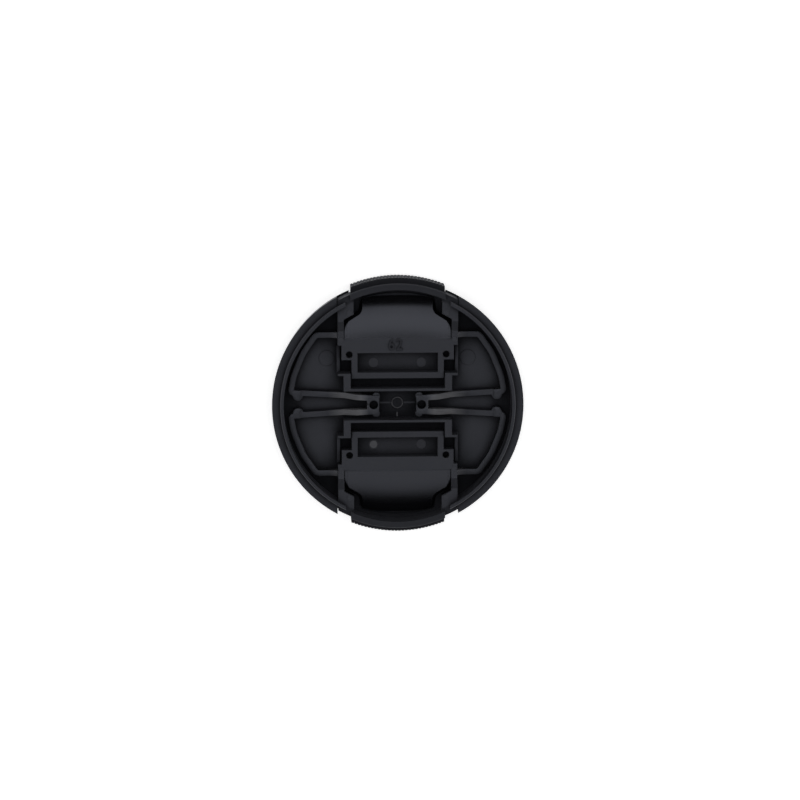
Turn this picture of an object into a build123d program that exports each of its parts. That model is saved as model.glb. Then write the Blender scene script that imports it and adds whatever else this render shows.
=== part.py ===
"""Centre-pinch lens cap for a 62 mm filter thread, lying on its front face.

The cap is five mouldings: a body, two sliders that carry the claws, and two flat
springs that push the sliders outward. +Z points toward the lens and +Y toward the
upper slider. The origin is the centre of the front face.
"""
from build123d import *
import os
from math import degrees, sqrt

# Driving dimensions, in millimetres

# Filter thread that the cap fits
thread_diameter = 62.0
thread_pitch = 0.75
thread_depth = 0.45

# Body: front plate, rim flange and plug wall
rim_overhang = 1.5
rim_lean = 0.5
rim_edge_band = 0.9
front_chamfer = 0.8
front_thickness = 1.5
seat_height = 6.5
plug_height = 1.3
plug_clearance = 0.6
plug_wall = 0.9
plug_lead_in = 0.25

# Body: guides for the sliders
bar_setback = 0.85
frame_cross_y = 3.8
frame_cross_wall = 0.65
frame_side_wall = 1.8
frame_depth = 4.65
frame_drop = 1.75
tab_length = 1.45
tab_thickness = 0.6
rail_width = 0.8
rail_height = 1.9
rail_length = 7.5

# Clearances and travel of the sliders
travel = 2.2
end_clearance = 0.35
slide_clearance = 0.2
side_clearance = 0.2
frame_clearance = 0.3
rail_clearance = 0.4

# Slider: push block and deck
block_half = 11.9
block_end_wall = 1.55
block_side_wall = 1.5
pocket_length = 5.1
pocket_floor = 1.1
deck_drop = 2.65
deck_half = 14.5
deck_setback = 4.85
deck_length = 3.8
pin_hole_radius = 0.9
pin_hole_x = 12.5
pin_hole_inset = 1.4
pin_hole_depth = 2.6

# Slider: finger cup
cup_wall = 0.95
cup_half = 13.3
cup_neck_half = 9.9
cup_neck_length = 3.6
cup_shoulder_length = 2.1
cup_flank_length = 1.4
cup_flat_length = 2.15
cup_trench = 0.6
cup_lip_inset = 1.2
cup_axis_setback = 60.0
cup_corner_round = 1.4
cup_edge_chamfer = 0.8

# Slider: side walls and shoulders
trench_web = 0.8
trench_lap = 0.4
wall_drop = 1.4
wall_half = 15.5
wall_thickness = 1.6
wall_neck_half = 13.3
wall_neck_thickness = 1.9
wall_jog_gap = 1.0
wall_jog_rise = 1.2
wall_jog_depth = 1.5
wall_ramp_drop = 2.1
wall_ramp_length = 2.6
shoulder_inset = 0.9
shoulder_drop = 0.1

# Slider: claw and rim grip
claw_half = 12.2
claw_thickness = 1.65
claw_lift = 1.05
claw_ridges = 2
claw_lead_in = 0.2
grip_half = 12.1
grip_proud = 1.25
grip_drop = 1.0
grip_bottom = 0.2
grip_groove_pitch = 0.9
grip_groove_depth = 0.2

# Springs
spring_width = 1.45
spring_height = 1.8
anchor_inner = 4.8
anchor_length = 3.1
anchor_half = 2.45
anchor_height = 3.35
anchor_hole_radius = 1.15
anchor_hole_inset = 1.4
anchor_pin_clearance = 0.1
anchor_pin_height = 1.2
anchor_lobe_radius = 0.95
anchor_lobe_inset = 0.75
anchor_lobe_y = 2.3
anchor_lobe_drop = 0.3
leg_root_y = 1.75
leg_drop = 0.65
leg_ramp_start_x = 13.8
leg_ramp_end_x = 10.6
leg_step_inset = 2.6
leg_band_half = 4.2
arm_wall_gap = 1.65
corner_y = 3.05
corner_round = 0.9
corner_pad_radius = 1.3
corner_pad_inset = 1.9
corner_pad_y = 2.3
arm_low_y = 7.5
arm_mid_y = 13.4
arm_root_setback = 2.53
arm_bend_round = 1.6
arm_curve_round = 12.0
arm_root_gap = 0.05
arm_root_ramp = 1.3
arm_root_rise = 0.5

# Levels that follow
total_height = seat_height + plug_height
floor = front_thickness
slider_bottom = floor + slide_clearance
deck_height = total_height - deck_drop
wall_top = total_height - wall_drop
frame_top = total_height - frame_drop
shoulder_top = seat_height - shoulder_drop
tip_underside = seat_height + slide_clearance
grip_top = seat_height - grip_drop
trench_floor = slider_bottom + trench_web
rail_top = floor + rail_height
spring_bottom = floor + slide_clearance
spring_top = spring_bottom + spring_height
leg_top = spring_top - leg_drop
anchor_top = floor + anchor_height

# Radii that follow
thread_radius = thread_diameter / 2
rim_radius = thread_radius + rim_overhang
rim_front_radius = rim_radius - rim_lean
plug_radius = thread_radius - plug_clearance
plug_inner = plug_radius - plug_wall
shoulder_radius = rim_radius - shoulder_inset
claw_inner_radius = thread_radius - claw_thickness
grip_radius = thread_radius + grip_proud
beyond = grip_radius + claw_lift + rim_overhang

# Places that follow, from the middle outward
block_inner_y = frame_cross_y + frame_cross_wall + travel + end_clearance
frame_inner_half = block_half + frame_clearance
frame_outer_half = frame_inner_half + frame_side_wall
frame_end_y = frame_cross_y + frame_depth
pocket_inner_y = block_inner_y + block_end_wall
pocket_outer_y = pocket_inner_y + pocket_length
cup_inner_y = pocket_outer_y + cup_wall
cup_flat_y = cup_inner_y + cup_flat_length
centre_bar_half = cup_inner_y - bar_setback
deck_inner_y = block_inner_y + deck_setback
wall_start_y = deck_inner_y + deck_length
rail_inner = deck_half + rail_clearance
rail_end_y = frame_end_y - tab_thickness + rail_length
wall_inner_half = wall_half - wall_thickness
wall_jog_y = sqrt(plug_inner**2 - wall_half**2) - wall_jog_gap
wall_ramp_high_y = wall_jog_y - wall_ramp_drop
wall_ramp_low_y = wall_ramp_high_y - wall_ramp_length
cup_reach = claw_inner_radius + claw_lift - cup_trench
cup_neck_y = sqrt(cup_reach**2 - cup_neck_half**2) - cup_neck_length
cup_shoulder_y = cup_neck_y - cup_shoulder_length
cup_flank_y = cup_shoulder_y - cup_flank_length
notch_half = grip_half + rail_clearance
tip_half = wall_neck_half + side_clearance
rim_opening_half = wall_half + side_clearance
anchor_hole_x = anchor_inner + anchor_hole_inset
arm_y = wall_start_y + arm_root_setback


def rectangle(x0, x1, y0, y1):
    """A rectangle given by its edges."""
    return Pos((x0 + x1) / 2, (y0 + y1) / 2) * Rectangle(x1 - x0, y1 - y0)


def column(sketch, bottom, top):
    """A sketch in plan, raised from one level to another."""
    return extrude(Pos(0, 0, bottom) * sketch, top - bottom)


def both_sides(shape):
    """A shape and its mirror image across the middle plane."""
    return shape + mirror(shape, about=Plane.YZ)


def symmetric_face(points):
    """The face inside a half outline, given from bottom to top, and its mirror image."""
    left = [(-x, y) for x, y in reversed(points)]
    return make_face(Polyline(*points, *left, close=True))


def turned(shape):
    """A shape after half a turn about the cap's axis."""
    return Rot(0, 0, 180) * shape


# Cap body


def body_shell():
    """Front plate, leaning rim, seat and plug wall, turned in one profile."""
    section = make_face(Plane.XZ * Polyline(
        (0, 0),
        (rim_front_radius - front_chamfer, 0),
        (rim_front_radius, front_chamfer),
        (rim_radius, seat_height - rim_edge_band),
        (rim_radius, seat_height),
        (plug_radius, seat_height),
        (plug_radius, total_height - plug_lead_in),
        (plug_radius - plug_lead_in, total_height),
        (plug_inner, total_height),
        (plug_inner, floor),
        (0, floor),
        close=True,
    ))
    return revolve(section, Axis.Z)


def slider_opening():
    """The way out for one slider: finger notch, rim opening and the gap between the wall tips."""
    section = rectangle(-notch_half, notch_half, -floor, floor)
    section += rectangle(-rim_opening_half, rim_opening_half, floor, tip_underside)
    section += rectangle(-tip_half, tip_half, tip_underside, total_height + floor)
    return extrude(Plane.XZ.offset(-beyond) * section, beyond - centre_bar_half)


def guide_frame():
    """The U-shaped wall that a push block slides into, with a tab at each end."""
    plan = rectangle(-frame_outer_half, frame_outer_half, frame_cross_y, frame_end_y)
    plan -= rectangle(-frame_inner_half, frame_inner_half, frame_cross_y + frame_cross_wall, beyond)
    tab_end = frame_outer_half + tab_length
    plan += both_sides(rectangle(frame_outer_half, tab_end, frame_end_y - tab_thickness, frame_end_y))
    return column(plan, floor, frame_top)


def guide_rails():
    """Low rails beside the slider's deck."""
    plan = rectangle(rail_inner, rail_inner + rail_width, frame_end_y - tab_thickness, rail_end_y)
    return column(both_sides(plan), floor, rail_top)


def spring_pins():
    """Locating pins that the springs' anchor blocks slip over."""
    pin = Pos(anchor_hole_x, 0) * Circle(anchor_hole_radius - anchor_pin_clearance)
    return column(both_sides(pin), floor, floor + anchor_pin_height)


def cap_body():
    body = body_shell()
    opening = slider_opening()
    body -= opening
    body -= turned(opening)
    guides = guide_frame() + guide_rails()
    body += guides
    body += turned(guides)
    body += spring_pins()
    return body


# Slider, drawn as the upper one


def push_block():
    """The block that slides behind the cap's centre bar, and the deck beside it."""
    plan = rectangle(-block_half, block_half, block_inner_y, cup_inner_y)
    plan += rectangle(-deck_half, deck_half, deck_inner_y, wall_start_y)
    return column(plan, slider_bottom, deck_height)


def pocket():
    half = block_half - block_side_wall
    plan = rectangle(-half, half, pocket_inner_y, pocket_outer_y)
    return column(plan, slider_bottom + pocket_floor, total_height)


def pin_holes():
    hole = Pos(pin_hole_x, deck_inner_y + pin_hole_inset) * Circle(pin_hole_radius)
    return column(both_sides(hole), deck_height - pin_hole_depth, total_height)


def side_walls():
    """Both side walls with their jog, filled between, and stepped down by a ramp toward the deck."""
    plan = symmetric_face([
        (wall_half, wall_start_y),
        (wall_half, wall_jog_y),
        (wall_neck_half, wall_jog_y + wall_jog_rise),
        (wall_neck_half, beyond),
    ])
    plan &= Circle(shoulder_radius)
    heights = make_face(Plane.YZ * Polyline(
        (wall_start_y, slider_bottom),
        (wall_start_y, deck_height),
        (wall_ramp_low_y, deck_height),
        (wall_ramp_high_y, wall_top),
        (beyond, wall_top),
        (beyond, slider_bottom),
        close=True,
    ))
    return column(plan, slider_bottom, wall_top) & extrude(heights, beyond, both=True)


def shoulders():
    """The low block under the wall tips, which keeps the slider in the cap."""
    plan = rectangle(-wall_half, wall_half, wall_jog_y, beyond) & Circle(shoulder_radius)
    return column(plan, slider_bottom, shoulder_top)


def rail_relief():
    """The room under each side wall's inner end, which passes over a rail."""
    inner = rail_inner - slide_clearance
    end_y = rail_end_y + travel + end_clearance
    plan = rectangle(inner, beyond, wall_start_y - end_clearance, end_y)
    return column(both_sides(plan), floor, rail_top + slide_clearance)


def tub():
    """The space between the side walls and the claw, down to the trench floor."""
    neck_half = wall_neck_half - wall_neck_thickness
    jog_y = wall_jog_y - wall_jog_depth
    slope = wall_jog_rise / (wall_half - wall_neck_half)
    plan = symmetric_face([
        (wall_inner_half, cup_flat_y + trench_lap),
        (wall_inner_half, jog_y),
        (neck_half, jog_y + slope * (wall_inner_half - neck_half)),
        (neck_half, beyond),
    ])
    plan &= Pos(0, claw_lift) * Circle(claw_inner_radius)
    return column(plan, trench_floor, total_height)


def cup_outline(base_half, inset, reach):
    """The cup's lobed outline in plan, pulled in by an inset, with its corners rounded."""
    plan = symmetric_face([
        (base_half, cup_inner_y),
        (base_half, cup_flank_y),
        (cup_half - inset, cup_shoulder_y - inset),
        (cup_neck_half - inset, cup_neck_y - inset),
        (cup_neck_half - inset, beyond),
    ])
    plan &= Circle(reach)
    corners = plan.vertices().filter_by(lambda v: v.Y > cup_flank_y + inset)
    return fillet(corners, cup_corner_round)


def cup_dish(inset, bottom):
    """The dished form of the cup, turned about a far axis, pulled in by an inset."""
    run = cup_reach - cup_flat_y
    drop = deck_height - trench_floor
    outer_bend = (run**2 + drop**2) / (2 * drop)
    centre_z = deck_height - outer_bend
    bend = outer_bend - inset
    level = deck_height - inset
    flat_r = cup_flat_y + cup_axis_setback
    start_r = flat_r - run
    end_r = flat_r + sqrt(bend**2 - (bottom - centre_z) ** 2)
    middle_z = (level + bottom) / 2
    middle_r = flat_r + sqrt(bend**2 - (middle_z - centre_z) ** 2)
    curve = ThreePointArc((flat_r, level), (middle_r, middle_z), (end_r, bottom))
    rest = Polyline((end_r, bottom), (start_r, bottom), (start_r, level), (flat_r, level))
    section = make_face(Plane.XZ * (curve + rest))
    return Pos(0, -cup_axis_setback) * revolve(section, Axis.Z)


def cup_bulge():
    """The back of the finger cup, with its upper edge broken."""
    outline = cup_outline(wall_inner_half, 0, cup_reach)
    bulge = cup_dish(0, slider_bottom) & column(outline, slider_bottom, deck_height)
    slanted = bulge.edges().filter_by(Axis.Z, reverse=True)
    flanks = slanted.filter_by(lambda e: abs(e.center().X) > cup_wall and e.center().Z > trench_floor)
    rim = flanks.filter_by(lambda e: e.center().Y > cup_inner_y + cup_wall)
    return chamfer(rim, cup_edge_chamfer)


def finger_space():
    """The hollow of the finger cup, open to the front."""
    outline = cup_outline(cup_half - cup_wall, cup_wall, cup_reach)
    return cup_dish(cup_wall, -floor) & column(outline, -floor, deck_height)


def claw():
    """The claw wall with its thread ridges, turned about its own centre."""
    root = thread_radius - thread_depth
    ridges = []
    for i in range(claw_ridges):
        crest_z = total_height - claw_lead_in - i * thread_pitch
        ridges += [(thread_radius, crest_z), (root, crest_z - thread_pitch / 2)]
    section = make_face(Plane.XZ * Polyline(
        (claw_inner_radius, slider_bottom),
        (claw_inner_radius, total_height),
        (thread_radius - claw_lead_in, total_height),
        *ridges,
        (root, slider_bottom),
        close=True,
    ))
    ring = Pos(0, claw_lift) * revolve(section, Axis.Z)
    return ring & column(rectangle(-claw_half, claw_half, 0, beyond), 0, total_height)


def grip_grooves():
    """Upright V grooves across the grip's outer face."""
    step = degrees(grip_groove_pitch / grip_radius)
    count = int(grip_half / grip_groove_pitch)
    side = grip_groove_depth * sqrt(2)
    cut = Rot(0, 0, 45) * Rectangle(side, side)
    plan = Sketch()
    for i in range(-count, count + 1):
        plan += Pos(0, claw_lift) * Rot(0, 0, i * step) * Pos(0, grip_radius) * cut
    return column(plan, 0, total_height)


def grip():
    """The rim grip below the claw, and the lip that ends the finger cup."""
    disc = Pos(0, claw_lift, grip_bottom) * extrude(Circle(grip_radius), grip_top - grip_bottom)
    lip = rectangle(-grip_half, grip_half, cup_reach - cup_lip_inset, beyond)
    outer = disc & column(lip, 0, total_height)
    inner = column(Pos(0, claw_lift) * Circle(claw_inner_radius), trench_floor, grip_top)
    return outer - inner - grip_grooves()


def slider():
    shape = side_walls() + shoulders() + push_block()
    shape -= tub()
    shape += claw() + grip()
    shape += cup_bulge()
    shape -= finger_space()
    shape -= rail_relief()
    shape -= pocket()
    shape -= pin_holes()
    return shape


# Springs, drawn as the right one


def arm_point(y):
    """A point of the arm at a height in plan, at an even distance from the plug wall."""
    return (sqrt((plug_inner - arm_wall_gap) ** 2 - y**2), y)


def spring_path():
    """Centreline of the upper half: leg, corner, bowed arm and the straight root."""
    return FilletPolyline(
        (anchor_hole_x, leg_root_y),
        arm_point(corner_y),
        arm_point(arm_low_y),
        arm_point(arm_mid_y),
        arm_point(arm_y),
        (wall_half + arm_root_gap, arm_y),
        radius=[corner_round, arm_curve_round, arm_curve_round, arm_bend_round],
    )


def arm_root():
    """The ramp by which an arm rises toward the slider's wall."""
    start = wall_half + arm_root_gap
    wedge = make_face(Plane.XZ * Polyline(
        (start, spring_bottom),
        (start, spring_top + arm_root_rise),
        (start + arm_root_ramp, spring_top),
        (start + arm_root_ramp, spring_bottom),
        close=True,
    ))
    return Pos(0, arm_y, 0) * extrude(wedge, spring_width / 2, both=True)


def anchor_lobe():
    """The round lobe on one side of the anchor block, lower than the block."""
    plan = Pos(anchor_inner + anchor_lobe_inset, anchor_lobe_y) * Circle(anchor_lobe_radius)
    return column(plan, floor, anchor_top - anchor_lobe_drop)


def spring():
    """Anchor block, two legs that ramp down from it, and two higher arms with padded corners."""
    corner_x = arm_point(corner_y)[0]
    half_plan = trace(spring_path(), spring_width)
    half_plan += Pos(corner_x - corner_pad_inset, corner_pad_y) * Circle(corner_pad_radius)
    plan = half_plan + mirror(half_plan, about=Plane.XZ)
    plan += rectangle(anchor_inner, anchor_inner + anchor_length, -anchor_half, anchor_half)
    plan -= Pos(anchor_hole_x, 0) * Circle(anchor_hole_radius)
    heights = make_face(Plane.XZ * Polyline(
        (anchor_inner, floor),
        (anchor_inner, anchor_top),
        (leg_ramp_end_x, anchor_top),
        (leg_ramp_start_x, leg_top),
        (leg_ramp_start_x, spring_top),
        (beyond, spring_top),
        (beyond, spring_bottom),
        (anchor_inner + anchor_length, spring_bottom),
        (anchor_inner + anchor_length, floor),
        close=True,
    ))
    flat = column(plan, floor, anchor_top) & extrude(heights, beyond, both=True)
    legs = rectangle(leg_ramp_start_x, corner_x - leg_step_inset, -leg_band_half, leg_band_half)
    flat -= column(legs, leg_top, anchor_top)
    ends = arm_root() + anchor_lobe()
    return flat + ends + mirror(ends, about=Plane.XZ)


os.makedirs("parts", exist_ok=True)
upper_slider = slider()
right_spring = spring()
export_step(cap_body(), "parts/cap_body.step")
export_step(upper_slider, "parts/upper_slider.step")
export_step(turned(upper_slider), "parts/lower_slider.step")
export_step(right_spring, "parts/right_spring.step")
export_step(turned(right_spring), "parts/left_spring.step")
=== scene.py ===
# %% [markdown]
# # A centre-pinch lens cap, seen from the lens side
# The cap is five black plastic mouldings: a round body, two sliders with claws, and two
# flat springs. All five come from the imported model, which is the fixed frame here. This
# lesson adds what a mould and a hand leave on them: grain, soft edges, ejector marks, a
# raised size number, and slim webs beside the finger cups. It also cuts each spring into an
# upper and a lower half, with cuts across the arms where they could bend.

# %% Load the frame
import math

import bmesh
import bpy
from mathutils import Matrix, Vector


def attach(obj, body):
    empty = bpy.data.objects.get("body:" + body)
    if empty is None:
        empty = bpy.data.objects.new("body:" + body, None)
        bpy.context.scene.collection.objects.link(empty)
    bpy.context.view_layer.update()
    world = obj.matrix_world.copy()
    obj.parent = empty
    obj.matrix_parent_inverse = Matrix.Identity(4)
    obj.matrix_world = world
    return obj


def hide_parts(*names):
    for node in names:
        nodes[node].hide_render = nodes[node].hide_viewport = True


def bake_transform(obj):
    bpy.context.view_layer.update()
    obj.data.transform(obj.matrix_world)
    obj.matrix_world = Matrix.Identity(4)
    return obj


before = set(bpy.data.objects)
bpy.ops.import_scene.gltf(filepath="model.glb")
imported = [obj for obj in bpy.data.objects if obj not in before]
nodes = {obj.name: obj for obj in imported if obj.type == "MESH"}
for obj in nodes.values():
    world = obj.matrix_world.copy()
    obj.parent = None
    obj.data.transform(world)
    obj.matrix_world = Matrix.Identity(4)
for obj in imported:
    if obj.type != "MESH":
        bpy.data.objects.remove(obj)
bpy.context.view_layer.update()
mm = 0.001

# %% [markdown]
# ## Camera
# The photograph looks almost straight down into the cap. The tilt could be guessed by eye,
# but round edges at different heights give it: the deeper a circle lies, the further its
# centre shifts in the picture. A long lens from 75 centimetres keeps the circles round.

# %% Place the camera
aim = Vector((0.54, 1.48, 6.05)) * mm
distance, focal_per_metre = 0.75, 174.3
tilt, lean = math.radians(10.7), math.radians(2.5)
toward_eye = Vector((-math.sin(lean), math.sin(tilt), 0))
toward_eye.z = math.sqrt(1.0 - toward_eye.length_squared)
up = (Vector((0, 1, 0)) - toward_eye * toward_eye.y).normalized()
side = up.cross(toward_eye)
turn = Matrix((side, up, toward_eye)).transposed()
lens = bpy.data.cameras.new("eye")
lens.lens = focal_per_metre * distance
lens.sensor_width = 36.0
lens.clip_start = 0.01
lens.clip_end = 20.0
eye = bpy.data.objects.new("eye", lens)
eye.matrix_world = Matrix.Translation(aim + toward_eye * distance) @ turn.to_4x4()
bpy.context.scene.collection.objects.link(eye)
bpy.context.scene.camera = eye
print("camera at mm", [round(c / mm, 1) for c in eye.location])

# %% [markdown]
# ## Table
# The cap lies on a white table that fades into a white room. A backdrop with a curved corner
# would do as well, but the camera looks down, so a flat plane is enough. It lies a hair under
# the cap, because two faces in one place would flicker.

# %% Lay the table
table_reach, table_gap = 3.0, 0.05 * mm
bm = bmesh.new()
bmesh.ops.create_grid(bm, x_segments=2, y_segments=2, size=table_reach)
bmesh.ops.translate(bm, verts=bm.verts, vec=(0, 0, -table_gap))
table_mesh = bpy.data.meshes.new("table")
bm.to_mesh(table_mesh)
bm.free()
table = bpy.data.objects.new("table", table_mesh)
bpy.context.scene.collection.objects.link(table)
print("table of", len(table_mesh.polygons), "faces")

# %% [markdown]
# ## Node helpers
# A finish is a net of small nodes. Each one could be added and linked line by line, but then
# the lines hide what the net does. Two helpers take up most of them: the first moves a value
# from one range to another, and the second joins values by a sum, a product or a limit.

# %% Wire small node helpers
def spread(tree, value, low, high, new_low, new_high):
    """A value moved from one range to another, and held at the ends of the new one."""
    ranged = tree.nodes.new("ShaderNodeMapRange")
    ends = {"From Min": low, "From Max": high, "To Min": new_low, "To Max": new_high}
    for socket, end in ends.items():
        ranged.inputs[socket].default_value = end
    tree.links.new(value, ranged.inputs["Value"])
    return ranged.outputs["Result"]


def combine(tree, operation, *values):
    """Values joined, one after the other, by a math operation."""
    joined = values[0]
    for value in values[1:]:
        step = tree.nodes.new("ShaderNodeMath")
        step.operation = operation
        tree.links.new(joined, step.inputs[0])
        tree.links.new(value, step.inputs[1])
        joined = step.outputs[0]
    return joined


# %% [markdown]
# ## White paper
# The table is plain white paper. White alone would turn grey in its own shading, so the paper
# adds a little light of its own, but only for rays that the camera, a reflection or glass
# sends. Rays that only light the cap get none of it, and the shadow round the cap stays.
# Seen from below the paper is clear, so that the cap's front face can be looked at.

# %% Whiten the table
own_light = 0.60
paper = bpy.data.materials.new("white_table")
paper.use_nodes = True
tree = paper.node_tree
sheet = tree.nodes["Principled BSDF"]
sheet.inputs["Base Color"].default_value = (0.80, 0.80, 0.80, 1)
sheet.inputs["Roughness"].default_value = 0.9
sheet.inputs["Specular IOR Level"].default_value = 0.0
sheet.inputs["Emission Color"].default_value = (1, 1, 1, 1)
path = tree.nodes.new("ShaderNodeLightPath")
seeing = [path.outputs[f"Is {kind} Ray"] for kind in ("Camera", "Glossy", "Transmission")]
glow = spread(tree, combine(tree, "MAXIMUM", *seeing), 0, 1, 0.0, own_light)
tree.links.new(glow, sheet.inputs["Emission Strength"])
facing = tree.nodes.new("ShaderNodeNewGeometry")
clear = tree.nodes.new("ShaderNodeBsdfTransparent")
one_sided = tree.nodes.new("ShaderNodeMixShader")
tree.links.new(facing.outputs["Backfacing"], one_sided.inputs["Fac"])
tree.links.new(sheet.outputs["BSDF"], one_sided.inputs[1])
tree.links.new(clear.outputs["BSDF"], one_sided.inputs[2])
tree.links.new(one_sided.outputs["Shader"], tree.nodes["Material Output"].inputs["Surface"])
table_mesh.materials.append(paper)
print(paper.name, "of", len(tree.nodes), "nodes")

# %% [markdown]
# ## Light
# Black plastic shows hardly any colour of its own: what is seen is the room mirrored in it.
# Bare lamps would give hard spots, so the lamps are wide soft boxes. Two hang overhead: the
# nearer one shines in the flats, and the brighter far one in the upper scoop, which leans
# that way. Three lower boxes, one behind and one on each side, light the ramps.

# %% Set the lamps
lamp_distance = 1.3


def soft_box(name, side, tilt, width, height, brightness):
    """A lamp that faces the cap, at a compass angle and a tilt from upright, in degrees.

    The brightness is what a mirror would show of it.
    """
    lamp = bpy.data.lights.new(name, "AREA")
    lamp.shape = "RECTANGLE"
    lamp.size = width
    lamp.size_y = height
    lamp.energy = brightness * width * height * math.pi
    box = bpy.data.objects.new(name, lamp)
    way = Matrix.Rotation(math.radians(side), 3, "Z") @ Matrix.Rotation(math.radians(tilt), 3, "Y")
    box.location = way @ Vector((0, 0, lamp_distance))
    box.rotation_euler = (-box.location).to_track_quat("-Z", "Y").to_euler()
    bpy.context.scene.collection.objects.link(box)


soft_box("near_top_box", side=-90, tilt=21.2, width=1.2, height=0.65, brightness=1.05)
soft_box("far_top_box", side=90, tilt=10.6, width=1.2, height=0.58, brightness=1.60)
soft_box("back_box", side=90, tilt=56, width=1.4, height=0.45, brightness=1.2)
soft_box("left_box", side=180, tilt=64, width=0.8, height=0.50, brightness=2.0)
soft_box("right_box", side=0, tilt=64, width=0.8, height=0.50, brightness=2.0)

# %% [markdown]
# ## Room
# Round the lamps the room is white at the horizon and dark above. An even grey room would
# fill every slot with the same light. Here the slots look up into the dark and stay black,
# while faces that lean outwards mirror the white. The height of a ray sets how white it is.

# %% Darken the room overhead
horizon, overhead = 1.0, 0.03
horizon_end, overhead_start = math.radians(80), math.radians(45)
room = bpy.data.worlds.new("room")
room.use_nodes = True
bpy.context.scene.world = room
tree = room.node_tree
air = tree.nodes["Background"]
air.inputs["Color"].default_value = (1, 1, 1, 1)
ray = tree.nodes.new("ShaderNodeTexCoord")
axes = tree.nodes.new("ShaderNodeSeparateXYZ")
tree.links.new(ray.outputs["Generated"], axes.inputs["Vector"])
white = spread(
    tree, axes.outputs["Z"], math.cos(horizon_end), math.cos(overhead_start), horizon, overhead)
tree.links.new(white, air.inputs["Strength"])
bpy.context.scene.view_settings.view_transform = "Standard"
print("room white", horizon, "at the horizon and", overhead, "overhead")

# %% [markdown]
# ## Moulded plastic
# The real mouldings are black, with a fine grain from the spark-worn mould and a little cloudy
# where the melt flowed. One flat black would look cut out of paper. A picture of plastic could
# be wrapped round each piece, but noise in the piece's own coordinates needs no wrapping and
# stays in place when the piece moves. The same coordinates tell a finish where it is on the
# cap: they are folded about the middle, because both halves and both sides are alike.

# %% Find patterns and places
noise_low, noise_high = 0.3, 0.7


def noise(tree, size, detail):
    """Soft random values, mostly from noise_low to noise_high, in blobs of a given size."""
    coords = tree.nodes.new("ShaderNodeTexCoord")
    texture = tree.nodes.new("ShaderNodeTexNoise")
    texture.inputs["Scale"].default_value = 1.0 / size
    texture.inputs["Detail"].default_value = detail
    tree.links.new(coords.outputs["Object"], texture.inputs["Vector"])
    return texture.outputs["Fac"]


def places(tree):
    """How far a point lies from the middle along each axis, and from the cap's own axis."""
    coords = tree.nodes.new("ShaderNodeTexCoord")
    folded, level, radius = [tree.nodes.new("ShaderNodeVectorMath") for _ in range(3)]
    folded.operation, level.operation, radius.operation = "ABSOLUTE", "MULTIPLY", "LENGTH"
    level.inputs[1].default_value = (1, 1, 0)
    axes = tree.nodes.new("ShaderNodeSeparateXYZ")
    tree.links.new(coords.outputs["Object"], folded.inputs[0])
    tree.links.new(coords.outputs["Object"], level.inputs[0])
    tree.links.new(folded.outputs["Vector"], axes.inputs["Vector"])
    tree.links.new(level.outputs["Vector"], radius.inputs[0])
    return {"x": axes.outputs["X"], "y": axes.outputs["Y"], "z": axes.outputs["Z"],
            "radius": radius.outputs["Value"]}


# %% [markdown]
# ## Worn edges and painted edge highlights
# Hands rub a moulding along its edges, in patches, and edges catch thin highlights. Both could
# be painted on each piece, but the Bevel node finds all edges by itself: it rounds the normal
# there, and where that differs from the flat normal the colour is painted paler, as wear and as
# a painted edge highlight. The rounded normal also takes the sharpness off.

# %% Wear the edges and paint their highlights
edge_samples = 6
flat_match, edge_match = 0.995, 0.85
patch_size, patch_detail = 1.6 * mm, 4.0
patch_low, patch_high, least_wear_and_highlight = 0.42, 0.62, 0.15


def worn_and_highlit_edges(tree, edge_radius):
    """The normal with rounded edges, and how much paler the colour is painted there, for wear and as a
    highlight.
    """
    rounded = tree.nodes.new("ShaderNodeBevel")
    rounded.samples = edge_samples
    rounded.inputs["Radius"].default_value = edge_radius
    flat = tree.nodes.new("ShaderNodeNewGeometry")
    match = tree.nodes.new("ShaderNodeVectorMath")
    match.operation = "DOT_PRODUCT"
    tree.links.new(rounded.outputs["Normal"], match.inputs[0])
    tree.links.new(flat.outputs["Normal"], match.inputs[1])
    # Where the normal is rounded the colour is painted paler: wear and a painted edge highlight.
    at_edge = spread(tree, match.outputs["Value"], flat_match, edge_match, 0.0, 1.0)
    patches = spread(tree, noise(tree, patch_size, patch_detail), patch_low, patch_high, least_wear_and_highlight, 1.0)
    return rounded.outputs["Normal"], combine(tree, "MULTIPLY", at_edge, patches)


# %% [markdown]
# ## Colour
# The black is a little uneven where the melt flowed, and painted paler along its edges, partly as
# wear and partly as a painted edge highlight. The springs' legs are painted pale too, next to
# their pinned blocks, as a painted highlight on their sloped stretch. A second material on those
# places would end in a hard line, so the colours are mixed within one.

# %% Colour the plastic
cloud_dark, cloud_light = 0.8, 1.2
# Edges are painted this much paler, partly for wear and partly as a painted edge highlight.
wear_and_highlight_gain, wear_and_highlight_lift = 2.6, 0.004
# Pale colour of the springs' legs: a painted highlight on their sloped stretch next to the pinned blocks.
pale = (0.080, 0.080, 0.083, 1)
pale_start, pale_full, pale_fade, pale_end = 7.5 * mm, 9.5 * mm, 14.0 * mm, 18.0 * mm


def mixed(tree, first, second, share, blend="MIX"):
    """Two colours mixed by a share, where each may be a plain value or an output."""
    mix = tree.nodes.new("ShaderNodeMix")
    mix.data_type = "RGBA"
    mix.blend_type = blend
    for socket, value in (("A", first), ("B", second), ("Factor", share)):
        if isinstance(value, bpy.types.NodeSocket):
            tree.links.new(value, mix.inputs[socket])
        else:
            mix.inputs[socket].default_value = value
    return mix.outputs["Result"]


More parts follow.
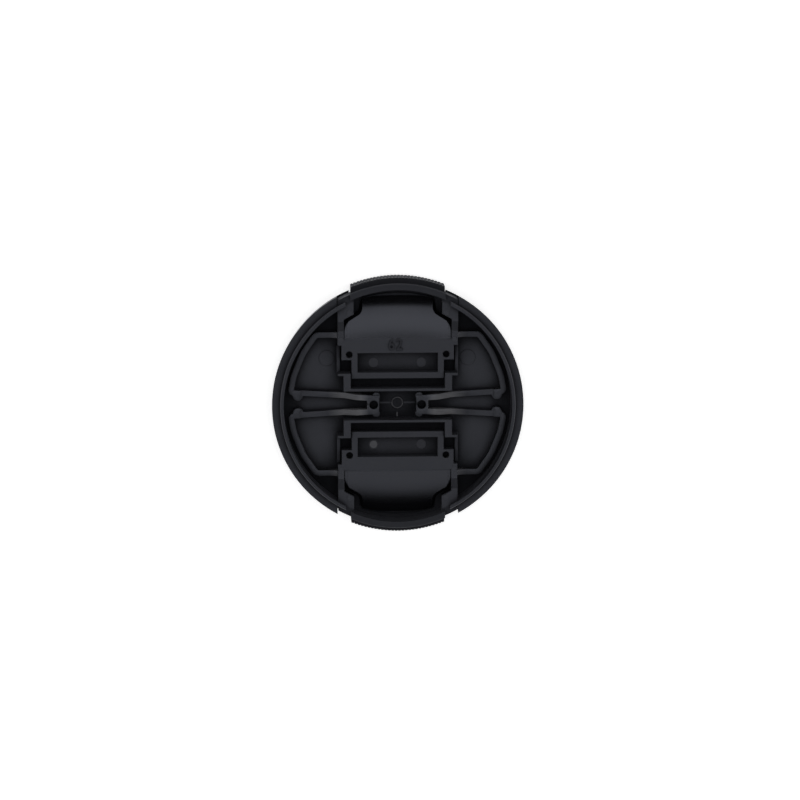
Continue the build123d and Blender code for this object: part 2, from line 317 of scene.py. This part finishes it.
def cloudy_colour(tree, colour, clouds, wear_and_highlight):
    """A plain colour, painted paler where edges are worn and highlit, and uneven all over."""
    worn_and_highlit_colour = [c * wear_and_highlight_gain + wear_and_highlight_lift for c in colour]
    worn_and_highlit = mixed(tree, (*colour, 1), (*worn_and_highlit_colour, 1), wear_and_highlight)
    level = spread(tree, clouds, noise_low, noise_high, cloud_dark, cloud_light)
    shade = tree.nodes.new("ShaderNodeCombineColor")
    for channel in ("Red", "Green", "Blue"):
        tree.links.new(level, shade.inputs[channel])
    return mixed(tree, worn_and_highlit, shade.outputs["Color"], 1.0, "MULTIPLY")


def highlit_legs(tree, colour, place):
    """A colour painted pale along a stretch of a spring's legs: a painted highlight where they slope."""
    rise = spread(tree, place["x"], pale_start, pale_full, 0, 1)
    fall = spread(tree, place["x"], pale_fade, pale_end, 1, 0)
    return mixed(tree, colour, pale, combine(tree, "MULTIPLY", rise, fall))


# %% [markdown]
# ## Gloss
# Gloss is most of what is seen of black plastic. Open faces of a mould are polished and its
# corners stay dull, so the plastic is rougher where walls stand close. Each corner could be
# masked by hand, but ambient occlusion measures how close the walls are. The outer ring has a
# coarser texture, so it is duller too.

# %% Dull the corners
cloud_swing, grain_swing = 0.03, 0.05
corner_samples, corner_reach = 8, 6.0 * mm
open_face, deep_corner = 0.93, 0.52
ring_start, ring_full = 29.3 * mm, 29.9 * mm


def dull_corners(tree, roughness, dulling, ring, clouds, grain, place):
    """A roughness with clouds and grain that rises in deep corners and on the outer ring."""
    walls = tree.nodes.new("ShaderNodeAmbientOcclusion")
    walls.samples = corner_samples
    walls.inputs["Distance"].default_value = corner_reach
    return combine(
        tree, "ADD",
        spread(tree, clouds, noise_low, noise_high, roughness - cloud_swing, roughness + cloud_swing),
        spread(tree, grain, noise_low, noise_high, -grain_swing, grain_swing),
        spread(tree, walls.outputs["AO"], open_face, deep_corner, 0.0, dulling),
        spread(tree, place["radius"], ring_start, ring_full, 0.0, ring))


# %% [markdown]
# ## Finger scoops
# The backs of the finger cups are the smoothest faces of the cap, most of all at their far
# ends, where they mirror the dark room. They could have a material of their own, but they run
# on into duller walls, so a soft mask picks them out of the slider's finish. It goes by how
# far out and how high a face lies.

# %% Smooth the scoops
pocket_floor, deck = 2.8 * mm, 5.15 * mm
scoop_start, scoop_full, scoop_fade, scoop_end = 16.6 * mm, 17.6 * mm, 28.9 * mm, ring_start
floor_fade, deck_fade = 0.3 * mm, 0.2 * mm
far_end_start, far_end_full = 24.0 * mm, 26.8 * mm
scoop_roughness, far_end_gain, scoop_grain = 0.24, 0.14, 0.05


def in_scoop(tree, place):
    """One on the scoops and zero elsewhere, with soft ends."""
    return combine(
        tree, "MULTIPLY",
        spread(tree, place["y"], scoop_start, scoop_full, 0, 1),
        spread(tree, place["radius"], scoop_fade, scoop_end, 1, 0),
        spread(tree, place["z"], pocket_floor, pocket_floor + floor_fade, 0, 1),
        spread(tree, place["z"], deck, deck + deck_fade, 1, 0))


def scoop_limit(tree, place, smooth):
    """The most roughness that is allowed: little on the scoops, and least at their far ends."""
    polish = spread(tree, smooth, 0, 1, 1.0, scoop_roughness)
    far_end = spread(tree, place["y"], far_end_start, far_end_full, 0.0, -far_end_gain)
    return combine(tree, "ADD", polish, far_end)


# %% [markdown]
# ## One plastic from its parts
# Body, sliders and springs come out of different moulds but are the same kind of plastic. Each
# could have its own net of nodes, but one function with a few settings keeps them alike. The
# grain is a bump of a few thousandths of a millimetre, on top of the rounded edges.

# %% Mix a moulded plastic
cloud_size, cloud_detail, grain_detail = 6.0 * mm, 3.0, 2.0
cool_gloss = (0.82, 0.855, 1.0, 1)


def moulded_plastic(name, colour, roughness, dulling, grain_size, grain_depth, edge_radius,
                    ring=0.10, leg_highlight=False, scoops=False):
    """Black plastic with grain, clouding, dull corners, and edges painted paler for wear and as a
    highlight.

    Dulling is the roughness that a deep corner gains, and ring is what the outer ring gains.
    """
    material = bpy.data.materials.new(name)
    material.use_nodes = True
    tree = material.node_tree
    plastic = tree.nodes["Principled BSDF"]
    plastic.inputs["Specular IOR Level"].default_value = 0.5
    plastic.inputs["Specular Tint"].default_value = cool_gloss
    bump = tree.nodes.new("ShaderNodeBump")
    bump.inputs["Strength"].default_value = 1.0
    bump.inputs["Distance"].default_value = grain_depth
    place = places(tree)
    clouds = noise(tree, cloud_size, cloud_detail)
    grain = noise(tree, grain_size, grain_detail)
    edge_normal, wear_and_highlight = worn_and_highlit_edges(tree, edge_radius)
    tint = cloudy_colour(tree, colour, clouds, wear_and_highlight)
    # The springs' legs get a painted highlight along their slope.
    if leg_highlight:
        tint = highlit_legs(tree, tint, place)
    gloss = dull_corners(tree, roughness, dulling, ring, clouds, grain, place)
    if scoops:
        smooth = in_scoop(tree, place)
        gloss = combine(tree, "MINIMUM", gloss, scoop_limit(tree, place, smooth))
        tree.links.new(spread(tree, smooth, 0, 1, 1.0, scoop_grain), bump.inputs["Strength"])
    tree.links.new(grain, bump.inputs["Height"])
    tree.links.new(edge_normal, bump.inputs["Normal"])
    for socket, output in (("Base Color", tint), ("Roughness", gloss), ("Normal", bump.outputs["Normal"])):
        tree.links.new(output, plastic.inputs[socket])
    return material


# %% [markdown]
# ## Finishes
# Five of the six finishes are the cap's own black or close to it, and one is pale grey.
# They differ in gloss more than in colour. Body and sliders wear theirs straight away. The
# other finishes wait for the pieces that are added below.

# %% Choose the finishes
black = (0.0020, 0.0020, 0.0024)
pin_black = (0.006, 0.006, 0.0065)
# Pale grey: the gate ring's colour, and a painted glint on one pin mark.
pale_grey = (0.062, 0.062, 0.065)
body_plastic = moulded_plastic(
    "body_finish", black, roughness=0.37, dulling=0.64, grain_size=0.16 * mm, grain_depth=0.004 * mm,
    edge_radius=0.14 * mm)
slider_plastic = moulded_plastic(
    "slider_finish", black, roughness=0.35, dulling=0.64, grain_size=0.14 * mm, grain_depth=0.003 * mm,
    edge_radius=0.16 * mm, ring=0.30, scoops=True)
# The springs' finish paints a highlight along their legs.
spring_plastic = moulded_plastic(
    "spring_finish", black, roughness=0.34, dulling=0.20, grain_size=0.12 * mm, grain_depth=0.003 * mm,
    edge_radius=0.10 * mm, leg_highlight=True)
pin_plastic = moulded_plastic(
    "pin_finish", pin_black, roughness=0.36, dulling=0.26, grain_size=0.14 * mm, grain_depth=0.003 * mm,
    edge_radius=0.05 * mm)
pale_plastic = moulded_plastic(
    "pale_finish", pale_grey, roughness=0.40, dulling=0.20, grain_size=0.14 * mm,
    grain_depth=0.003 * mm, edge_radius=0.05 * mm)
number_plastic = moulded_plastic(
    "number_finish", black, roughness=0.62, dulling=0.30, grain_size=0.12 * mm, grain_depth=0.003 * mm,
    edge_radius=0.05 * mm)
finishes = {"cap_body": body_plastic, "upper_slider": slider_plastic, "lower_slider": slider_plastic}
for node, finish in finishes.items():
    nodes[node].data.materials[0] = finish
print("finishes", {node: finish.name for node, finish in finishes.items()})

# %% [markdown]
# ## Added pieces
# No piece that is added below stands for itself. The spring halves take the place of the
# imported springs, and every other piece belongs to a moulding and moves with it.
# No edge of a moulding is truly sharp either. A bevel in the finish alone would not show in an
# outline, so the edges that catch the light are rounded with real faces. Each piece ends as
# an object at the origin, with its place in its mesh, smooth but for its corners.

# %% Finish an added piece
crease = math.radians(20)


def round_edges(bm, edges, radius, segments=2, clamp_overlap=False):
    """Edges rounded with real faces."""
    bmesh.ops.bevel(
        bm, geom=edges, offset=radius, offset_type="OFFSET", segments=segments, profile=0.5,
        affect="EDGES", material=-1, clamp_overlap=clamp_overlap)


def finished_piece(bm, name, finish):
    """The bmesh as an object at the origin, smooth but for its corners, with its finish."""
    mesh = bpy.data.meshes.new(name)
    bm.to_mesh(mesh)
    bm.free()
    mesh.materials.append(finish)
    mesh.shade_smooth()
    mesh.set_sharp_from_angle(angle=crease)
    piece = bpy.data.objects.new(name, mesh)
    bpy.context.scene.collection.objects.link(piece)
    return piece


# %% [markdown]
# ## Springs
# Each spring is one flat moulding: a block pinned to the floor, two legs, and two arms that
# reach the sliders. When a slider is pinched the arm must bend, and a rigid part can't. A
# whole spring can't follow two sliders at once either, so a copy of the imported spring is cut
# along its middle into an upper and a lower half. The sharp edges are rounded before the cut,
# so that no groove shows along it. Cuts across the arm, one each millimetre, give it places to
# bend.

# %% Cut a spring in half
merge_distance, flat_angle, corner_angle = 0.002 * mm, math.radians(1), math.radians(50)
spring_round = 0.12 * mm
bend_step, first_bend, last_bend = 1.0 * mm, 4, 17


def cut_across(bm, y):
    """A row of new edges all round a piece, where it crosses a place along the y axis."""
    bmesh.ops.bisect_plane(
        bm, geom=bm.verts[:] + bm.edges[:] + bm.faces[:], plane_co=(0, y, 0), plane_no=(0, 1, 0))


def half_spring(node, name, way):
    """One half of a packed spring, on the side of the middle that way points to."""
    bm = bmesh.new()
    bm.from_mesh(nodes[node].data)
    bmesh.ops.remove_doubles(bm, verts=bm.verts, dist=merge_distance)
    bmesh.ops.dissolve_limit(
        bm, angle_limit=flat_angle, verts=bm.verts, edges=bm.edges, use_dissolve_boundaries=False)
    corners = [e for e in bm.edges if len(e.link_faces) == 2 and e.calc_face_angle() > corner_angle]
    round_edges(bm, corners, spring_round, clamp_overlap=True)
    cut = bmesh.ops.bisect_plane(
        bm, geom=bm.verts[:] + bm.edges[:] + bm.faces[:], plane_co=(0, 0, 0), plane_no=(0, way, 0),
        clear_inner=True)
    open_rim = [e for e in cut["geom_cut"] if isinstance(e, bmesh.types.BMEdge)]
    bmesh.ops.holes_fill(bm, edges=open_rim, sides=0)
    for bend in range(first_bend, last_bend + 1):
        cut_across(bm, way * bend * bend_step)
    bmesh.ops.triangulate(bm, faces=bm.faces)
    return finished_piece(bm, name, spring_plastic)


# %% [markdown]
# On the real cap the arm bends evenly, from the corner where a leg turns into its arm to its
# root on the slider. Here each spring gives its two halves, and the imported spring is hidden.

# %% Split the springs
slider_ways = {"upper_slider": 1, "lower_slider": -1}
for node in ("left_spring", "right_spring"):
    for slider, way in slider_ways.items():
        half = slider.removesuffix("_slider")
        arm = half_spring(node, f"{node}_{half}_half", way)
        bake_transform(arm)
        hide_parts(node)
        print(arm.name, len(arm.data.polygons), "triangles")

# %% [markdown]
# ## Cup flanks
# The back of each finger cup runs out softly into the slider's side walls and ends in round
# lobes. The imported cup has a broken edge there, which shows as a hard black groove. A duller
# finish would only widen it, so a slim web fills it. Its form follows two arcs: the cup's
# back, which is turned about a far axis, and the lobe's outline.

# %% Measure the cup
axis_setback, arc_start, arc_radius = 60.0 * mm, 76.75 * mm, 33.46 * mm
lobe_start, lobe_radius = 19.0 * mm, 4.5 * mm


def arc_sag(reach, radius):
    """How far an arc has left its tangent, at a reach past the point where they touch."""
    return radius - math.sqrt(radius ** 2 - max(0.0, reach) ** 2)


def cup_drop(x, y):
    """How far the cup's back lies below the deck."""
    return arc_sag(math.hypot(x, y + axis_setback) - arc_start, arc_radius)


def lobe_inset(y):
    """How far the lobe's outline has drawn in from the side wall."""
    return arc_sag(y - lobe_start, lobe_radius)


flank_inner, flank_outer, flank_start, flank_end = 12.9 * mm, 13.95 * mm, 16.9 * mm, 22.2 * mm
end_drop, end_inset = cup_drop(flank_outer, flank_end), lobe_inset(flank_end)
print("at its end the web drops mm", round(end_drop / mm, 2), "and draws in mm", round(end_inset / mm, 2))

# %% [markdown]
# Each web starts as a plain block, cut into short lengths, with its outer upper edge rounded.
# Its vertices are then drawn in along the lobe's arc and laid on the cup's back, a little
# sunk, so that its inner edge doesn't show.

# %% Fill the cup flanks
flank_depth, flank_sink, flank_round = 0.9 * mm, 0.015 * mm, 0.35 * mm
cut_step, first_cut, last_cut = 0.5 * mm, 36, 43
hair = 0.001 * mm


def block(bm, centre, size):
    """The vertices of a new plain block."""
    verts = bmesh.ops.create_cube(bm, size=1.0)["verts"]
    bmesh.ops.scale(bm, verts=verts, vec=size)
    bmesh.ops.translate(bm, verts=verts, vec=centre)
    return verts


def on_rim(v):
    """Whether a vertex of the block lies on its upper edge, at the outer side or the far end."""
    outside = abs(v.co.x) > flank_outer - hair or abs(v.co.y) > flank_end - hair
    return outside and v.co.z > deck - hair


flank_size = (flank_outer - flank_inner, flank_end - flank_start, flank_depth)
flank_x, flank_y = (flank_inner + flank_outer) / 2, (flank_start + flank_end) / 2
for slider, way in slider_ways.items():
    bm = bmesh.new()
    for hand in (-1, 1):
        block(bm, (hand * flank_x, way * flank_y, deck - flank_depth / 2), flank_size)
    for cut in range(first_cut, last_cut + 1):
        cut_across(bm, way * cut * cut_step)
    rim = [e for e in bm.edges if on_rim(e.verts[0]) and on_rim(e.verts[1])]
    round_edges(bm, rim, flank_round, segments=3)
    for v in bm.verts:
        v.co.x -= math.copysign(lobe_inset(abs(v.co.y)), v.co.x)
        v.co.z -= cup_drop(v.co.x, abs(v.co.y)) + flank_sink
    flanks = finished_piece(bm, f"{slider}_cup_flanks", slider_plastic)
    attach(flanks, slider)
    print(flanks.name, len(flanks.data.polygons), "faces")

# %% [markdown]
# ## Size number
# The upper slider carries its thread size as a small raised mark. The bare number says it,
# and it is duller than the flat round it, because it was cut into a polished mould.
# Text could stay a text object, but a piece sits at the origin with its place in its mesh,
# so the text is turned into a mesh first and then moved to the slider's flat.

# %% Raise the number
number_place, number_width = Vector((-0.6 * mm, 15.75 * mm, deck)), 0.80
text = bpy.data.curves.new("size_number", "FONT")
text.body = "62"
text.size = 4.4 * mm
text.extrude = 0.25 * mm
text.bevel_depth = 0.05 * mm
text.offset = 0.03 * mm
text.space_character = 1.15
text.align_x = "CENTER"
text.align_y = "CENTER"
draft = bpy.data.objects.new("draft", text)
bpy.context.scene.collection.objects.link(draft)
number_mesh = bpy.data.meshes.new_from_object(draft.evaluated_get(bpy.context.evaluated_depsgraph_get()))
bpy.data.objects.remove(draft)
number_mesh.transform(Matrix.Translation(number_place) @ Matrix.Diagonal((number_width, 1, 1, 1)))
number_mesh.materials.clear()
number_mesh.materials.append(number_plastic)
number = bpy.data.objects.new("size_number", number_mesh)
bpy.context.scene.collection.objects.link(number)
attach(number, "upper_slider")
print("number", len(number_mesh.polygons), "faces")

# %% [markdown]
# ## Marks of the mould
# Ejector pins leave round marks on the floor, in the pockets and on the walls. They could be
# painted into the finish, but a real step of a few hundredths of a millimetre catches the
# light from every side. Pins stand in pairs, one on each side of the middle.

# %% Press the marks
floor, wall_top = 1.5 * mm, 6.4 * mm
mark_segments, mark_sink, rim_share = 40, 0.02 * mm, 0.4
floor_pin_x, floor_pin_y = 18.3 * mm, 11.8 * mm
floor_pin_radius, floor_pin_height = 2.0 * mm, 0.1 * mm
pocket_pin_x, pocket_pin_y = 6.2 * mm, 10.8 * mm
pocket_pin_radius, pocket_pin_height = 1.25 * mm, 0.06 * mm
deck_pin_x, deck_pin_y, wall_pin_x, wall_pin_y = 14.65 * mm, 17.1 * mm, 12.5 * mm, 24.3 * mm
small_pin_radius, small_pin_height = 0.7 * mm, 0.07 * mm


def disc(bm, x, y, z, radius, height):
    """A low round pad with a rounded rim."""
    base = bmesh.ops.create_circle(bm, cap_ends=True, segments=mark_segments, radius=radius)["verts"]
    grown = bmesh.ops.extrude_face_region(bm, geom=[base[0].link_faces[0]])
    top = [v for v in grown["geom"] if isinstance(v, bmesh.types.BMVert)]
    bmesh.ops.translate(bm, verts=top, vec=(0, 0, height))
    bmesh.ops.translate(bm, verts=base + top, vec=(x, y, z))
    rim = [e for e in bm.edges if e.verts[0] in top and e.verts[1] in top]
    round_edges(bm, rim, rim_share * height)


def pin_pair(bm, x, y, z, radius, height):
    """Two pin marks, one on each side, sunk a little into the face that they stand on."""
    for hand in (-1, 1):
        disc(bm, hand * x, y, z - mark_sink, radius, height)


bm = bmesh.new()
pin_pair(bm, floor_pin_x, floor_pin_y, floor, floor_pin_radius, floor_pin_height)
floor_marks = finished_piece(bm, "floor_marks", body_plastic)
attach(floor_marks, "cap")
for slider, way in slider_ways.items():
    bm = bmesh.new()
    pin_pair(bm, pocket_pin_x, way * pocket_pin_y, pocket_floor, pocket_pin_radius, pocket_pin_height)
    pin_pair(bm, deck_pin_x, way * deck_pin_y, deck, small_pin_radius, small_pin_height)
    pin_pair(bm, wall_pin_x, way * wall_pin_y, wall_top, small_pin_radius, small_pin_height)
    marks = finished_piece(bm, f"{slider}_marks", pin_plastic)
    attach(marks, slider)
    print(marks.name, len(marks.data.polygons), "faces")

# %% [markdown]
# One pin mark of the lower slider carries a bright glint, and a paler disc paints that highlight
# in. The mark could have a finish of its own, but only its middle is bright. So a smaller disc
# of pale grey plastic lies on top of it, as a painted glint.

# %% Lay the painted glint on a pin mark
pale_lift, pale_radius, pale_height = 0.03 * mm, 0.95 * mm, 0.04 * mm
bm = bmesh.new()
# This disc is a painted glint on the pin mark.
disc(bm, -pocket_pin_x, -pocket_pin_y, pocket_floor + pale_lift, pale_radius, pale_height)
painted_glint_mark = finished_piece(bm, "lower_slider_pale_mark", pale_plastic)
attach(painted_glint_mark, "lower_slider")
print(painted_glint_mark.name, len(painted_glint_mark.data.polygons), "faces")

# %% [markdown]
# The melt came in through a gate in the middle of the floor, which left a small ring. It is a
# thin round bead. A torus would do, but spinning a small round profile about the middle is
# how any such bead is made. The tick below it marks the mould's cavity.

# %% Spin the gate ring
gate_radius, bead_radius, bead_segments, ring_steps = 1.39 * mm, 0.17 * mm, 10, 64
tick_place, tick_size = Vector((0, -3.1 * mm, floor)), Vector((0.40, 1.2, 0.2)) * mm
tick_round = 0.05 * mm
bm = bmesh.new()
bead = bmesh.ops.create_circle(bm, segments=bead_segments, radius=bead_radius)["verts"]
bmesh.ops.rotate(bm, verts=bead, cent=(0, 0, 0), matrix=Matrix.Rotation(math.pi / 2, 3, "X"))
bmesh.ops.translate(bm, verts=bead, vec=(gate_radius, 0, floor))
bmesh.ops.spin(
    bm, geom=bm.verts[:] + bm.edges[:], cent=(0, 0, 0), axis=(0, 0, 1), angle=2 * math.pi,
    steps=ring_steps, use_merge=True)
bmesh.ops.recalc_face_normals(bm, faces=bm.faces)
tick = block(bm, tick_place, tick_size)
round_edges(bm, [e for e in bm.edges if e.verts[0] in tick], tick_round)
gate = finished_piece(bm, "gate_mark", pale_plastic)
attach(gate, "cap")
print("gate mark", len(gate.data.polygons), "faces")

# %% [markdown]
# A faint line runs from the ring to both springs, where two streams of melt met. It could be
# a stripe in the finish, but a low bar on each side, a little paler than the floor, shows in
# the model's shape as well.

# %% Draw the weld line
weld_x, weld_size = 3.1 * mm, Vector((2.9, 0.45, 0.06)) * mm
bm = bmesh.new()
for hand in (-1, 1):
    block(bm, (hand * weld_x, 0, floor), weld_size)
weld_line = finished_piece(bm, "weld_line", pin_plastic)
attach(weld_line, "cap")
print("weld line", len(weld_line.data.polygons), "faces")
